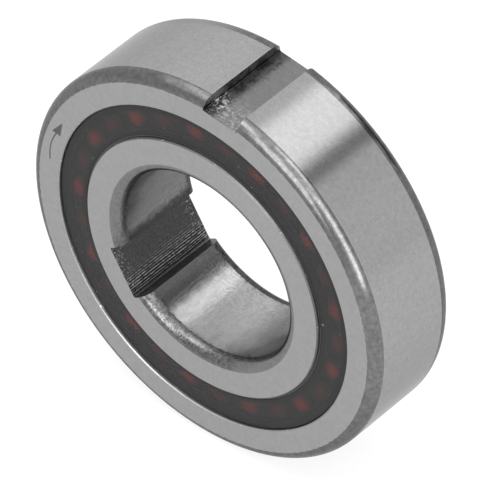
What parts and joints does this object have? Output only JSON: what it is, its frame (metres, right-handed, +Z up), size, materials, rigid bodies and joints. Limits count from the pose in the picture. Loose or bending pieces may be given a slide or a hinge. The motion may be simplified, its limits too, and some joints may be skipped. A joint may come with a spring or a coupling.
{
  "type": "sprag clutch bearing",
  "caption": "One-way clutch bearing with a keyed inner and outer ring, balls and wedging sprags in one cage, and a plastic shield on each side.",
  "frame": {"origin": "centre of the bearing, on its axis and midway between its side faces", "axes": "+Y along the bearing's axis from its front face to its rear face, +Z up, with the outer keyway near the top"},
  "size_m": [0.062, 0.016, 0.062],
  "materials": {
    "ring_steel": "fine ground, satin",
    "shield_plastic": "smoky red-brown moulded plastic",
    "cage_plastic": "moulded polyamide, oiled",
    "ball_steel": "polished",
    "sprag_steel": "ground and hardened",
    "spring_steel": "rolled strip"
  },
  "bodies": {
    "outer": {"outer_ring": "ring_steel", "front_shield": "shield_plastic", "rear_shield": "shield_plastic"},
    "inner": {"inner_ring": "ring_steel"},
    "cage_set": {"cage": "cage_plastic", "comb_spring": "spring_steel"},
    "ball_01_body": {"ball_01": "ball_steel"},
    "ball_02_body": {"ball_02": "ball_steel"},
    "ball_03_body": {"ball_03": "ball_steel"},
    "ball_04_body": {"ball_04": "ball_steel"},
    "ball_05_body": {"ball_05": "ball_steel"},
    "ball_06_body": {"ball_06": "ball_steel"},
    "ball_07_body": {"ball_07": "ball_steel"},
    "ball_08_body": {"ball_08": "ball_steel"},
    "ball_09_body": {"ball_09": "ball_steel"},
    "ball_10_body": {"ball_10": "ball_steel"},
    "ball_11_body": {"ball_11": "ball_steel"},
    "ball_12_body": {"ball_12": "ball_steel"},
    "ball_13_body": {"ball_13": "ball_steel"},
    "sprag_01_body": {"sprag_01": "sprag_steel"},
    "sprag_02_body": {"sprag_02": "sprag_steel"},
    "sprag_03_body": {"sprag_03": "sprag_steel"},
    "sprag_04_body": {"sprag_04": "sprag_steel"},
    "sprag_05_body": {"sprag_05": "sprag_steel"},
    "sprag_06_body": {"sprag_06": "sprag_steel"},
    "sprag_07_body": {"sprag_07": "sprag_steel"},
    "sprag_08_body": {"sprag_08": "sprag_steel"},
    "sprag_09_body": {"sprag_09": "sprag_steel"},
    "sprag_10_body": {"sprag_10": "sprag_steel"},
    "sprag_11_body": {"sprag_11": "sprag_steel"},
    "sprag_12_body": {"sprag_12": "sprag_steel"},
    "sprag_13_body": {"sprag_13": "sprag_steel"}
  },
  "joints": [
    {"name": "overrun", "type": "hinge", "parent": "outer", "child": "inner", "pos_m": [0, 0, 0], "axis": [0, 1, 0], "continuous": true},
    {"name": "cage_orbit", "type": "hinge", "parent": "outer", "child": "cage_set", "pos_m": [0, 0, 0], "axis": [0, 1, 0], "continuous": true},
    {"name": "ball_01_roll", "type": "hinge", "parent": "cage_set", "child": "ball_01_body", "pos_m": [0.00872, 0, 0.02115], "axis": [0, 1, 0], "continuous": true},
    {"name": "ball_02_roll", "type": "hinge", "parent": "cage_set", "child": "ball_02_body", "pos_m": [0.01755, 0, 0.01468], "axis": [0, 1, 0], "continuous": true},
    {"name": "ball_03_roll", "type": "hinge", "parent": "cage_set", "child": "ball_03_body", "pos_m": [0.02236, 0, 0.00484], "axis": [0, 1, 0], "continuous": true},
    {"name": "ball_04_roll", "type": "hinge", "parent": "cage_set", "child": "ball_04_body", "pos_m": [0.02205, 0, -0.0061], "axis": [0, 1, 0], "continuous": true},
    {"name": "ball_05_roll", "type": "hinge", "parent": "cage_set", "child": "ball_05_body", "pos_m": [0.01668, 0, -0.01565], "axis": [0, 1, 0], "continuous": true},
    {"name": "ball_06_roll", "type": "hinge", "parent": "cage_set", "child": "ball_06_body", "pos_m": [0.0075, 0, -0.02161], "axis": [0, 1, 0], "continuous": true},
    {"name": "ball_07_roll", "type": "hinge", "parent": "cage_set", "child": "ball_07_body", "pos_m": [-0.0034, 0, -0.02262], "axis": [0, 1, 0], "continuous": true},
    {"name": "ball_08_roll", "type": "hinge", "parent": "cage_set", "child": "ball_08_body", "pos_m": [-0.01353, 0, -0.01845], "axis": [0, 1, 0], "continuous": true},
    {"name": "ball_09_roll", "type": "hinge", "parent": "cage_set", "child": "ball_09_body", "pos_m": [-0.02055, 0, -0.01005], "axis": [0, 1, 0], "continuous": true},
    {"name": "ball_10_roll", "type": "hinge", "parent": "cage_set", "child": "ball_10_body", "pos_m": [-0.02287, 0, 0.00065], "axis": [0, 1, 0], "continuous": true},
    {"name": "ball_11_roll", "type": "hinge", "parent": "cage_set", "child": "ball_11_body", "pos_m": [-0.01994, 0, 0.0112], "axis": [0, 1, 0], "continuous": true},
    {"name": "ball_12_roll", "type": "hinge", "parent": "cage_set", "child": "ball_12_body", "pos_m": [-0.01245, 0, 0.01919], "axis": [0, 1, 0], "continuous": true},
    {"name": "ball_13_roll", "type": "hinge", "parent": "cage_set", "child": "ball_13_body", "pos_m": [-0.00211, 0, 0.02278], "axis": [0, 1, 0], "continuous": true},
    {"name": "sprag_01_tilt", "type": "hinge", "parent": "cage_set", "child": "sprag_01_body", "pos_m": [0.01353, 0, 0.01845], "axis": [0, 1, 0], "range_deg": [0, 6], "stiffness_Nm_per_rad": 0.004, "springref_deg": -5.73, "deforming": ["comb_spring"]},
    {"name": "sprag_02_tilt", "type": "hinge", "parent": "cage_set", "child": "sprag_02_body", "pos_m": [0.02055, 0, 0.01005], "axis": [0, 1, 0], "range_deg": [0, 6]},
    {"name": "sprag_03_tilt", "type": "hinge", "parent": "cage_set", "child": "sprag_03_body", "pos_m": [0.02287, 0, -0.00065], "axis": [0, 1, 0], "range_deg": [0, 6]},
    {"name": "sprag_04_tilt", "type": "hinge", "parent": "cage_set", "child": "sprag_04_body", "pos_m": [0.01994, 0, -0.0112], "axis": [0, 1, 0], "range_deg": [0, 6]},
    {"name": "sprag_05_tilt", "type": "hinge", "parent": "cage_set", "child": "sprag_05_body", "pos_m": [0.01245, 0, -0.01919], "axis": [0, 1, 0], "range_deg": [0, 6]},
    {"name": "sprag_06_tilt", "type": "hinge", "parent": "cage_set", "child": "sprag_06_body", "pos_m": [0.00211, 0, -0.02278], "axis": [0, 1, 0], "range_deg": [0, 6]},
    {"name": "sprag_07_tilt", "type": "hinge", "parent": "cage_set", "child": "sprag_07_body", "pos_m": [-0.00872, 0, -0.02115], "axis": [0, 1, 0], "range_deg": [0, 6]},
    {"name": "sprag_08_tilt", "type": "hinge", "parent": "cage_set", "child": "sprag_08_body", "pos_m": [-0.01755, 0, -0.01468], "axis": [0, 1, 0], "range_deg": [0, 6]},
    {"name": "sprag_09_tilt", "type": "hinge", "parent": "cage_set", "child": "sprag_09_body", "pos_m": [-0.02236, 0, -0.00484], "axis": [0, 1, 0], "range_deg": [0, 6]},
    {"name": "sprag_10_tilt", "type": "hinge", "parent": "cage_set", "child": "sprag_10_body", "pos_m": [-0.02205, 0, 0.0061], "axis": [0, 1, 0], "range_deg": [0, 6]},
    {"name": "sprag_11_tilt", "type": "hinge", "parent": "cage_set", "child": "sprag_11_body", "pos_m": [-0.01668, 0, 0.01565], "axis": [0, 1, 0], "range_deg": [0, 6]},
    {"name": "sprag_12_tilt", "type": "hinge", "parent": "cage_set", "child": "sprag_12_body", "pos_m": [-0.0075, 0, 0.02161], "axis": [0, 1, 0], "range_deg": [0, 6]},
    {"name": "sprag_13_tilt", "type": "hinge", "parent": "cage_set", "child": "sprag_13_body", "pos_m": [0.0034, 0, 0.02262], "axis": [0, 1, 0], "range_deg": [0, 6]}
  ],
  "couplings": [
    {"joint": "cage_orbit", "follows": "overrun", "ratio": 0.44536},
    {"joint": "ball_01_roll", "follows": "overrun", "ratio": -4.5204},
    {"joint": "ball_02_roll", "follows": "overrun", "ratio": -4.5204},
    {"joint": "ball_03_roll", "follows": "overrun", "ratio": -4.5204},
    {"joint": "ball_04_roll", "follows": "overrun", "ratio": -4.5204},
    {"joint": "ball_05_roll", "follows": "overrun", "ratio": -4.5204},
    {"joint": "ball_06_roll", "follows": "overrun", "ratio": -4.5204},
    {"joint": "ball_07_roll", "follows": "overrun", "ratio": -4.5204},
    {"joint": "ball_08_roll", "follows": "overrun", "ratio": -4.5204},
    {"joint": "ball_09_roll", "follows": "overrun", "ratio": -4.5204},
    {"joint": "ball_10_roll", "follows": "overrun", "ratio": -4.5204},
    {"joint": "ball_11_roll", "follows": "overrun", "ratio": -4.5204},
    {"joint": "ball_12_roll", "follows": "overrun", "ratio": -4.5204},
    {"joint": "ball_13_roll", "follows": "overrun", "ratio": -4.5204},
    {"joint": "sprag_02_tilt", "follows": "sprag_01_tilt", "ratio": 1},
    {"joint": "sprag_03_tilt", "follows": "sprag_01_tilt", "ratio": 1},
    {"joint": "sprag_04_tilt", "follows": "sprag_01_tilt", "ratio": 1},
    {"joint": "sprag_05_tilt", "follows": "sprag_01_tilt", "ratio": 1},
    {"joint": "sprag_06_tilt", "follows": "sprag_01_tilt", "ratio": 1},
    {"joint": "sprag_07_tilt", "follows": "sprag_01_tilt", "ratio": 1},
    {"joint": "sprag_08_tilt", "follows": "sprag_01_tilt", "ratio": 1},
    {"joint": "sprag_09_tilt", "follows": "sprag_01_tilt", "ratio": 1},
    {"joint": "sprag_10_tilt", "follows": "sprag_01_tilt", "ratio": 1},
    {"joint": "sprag_11_tilt", "follows": "sprag_01_tilt", "ratio": 1},
    {"joint": "sprag_12_tilt", "follows": "sprag_01_tilt", "ratio": 1},
    {"joint": "sprag_13_tilt", "follows": "sprag_01_tilt", "ratio": 1}
  ]
}
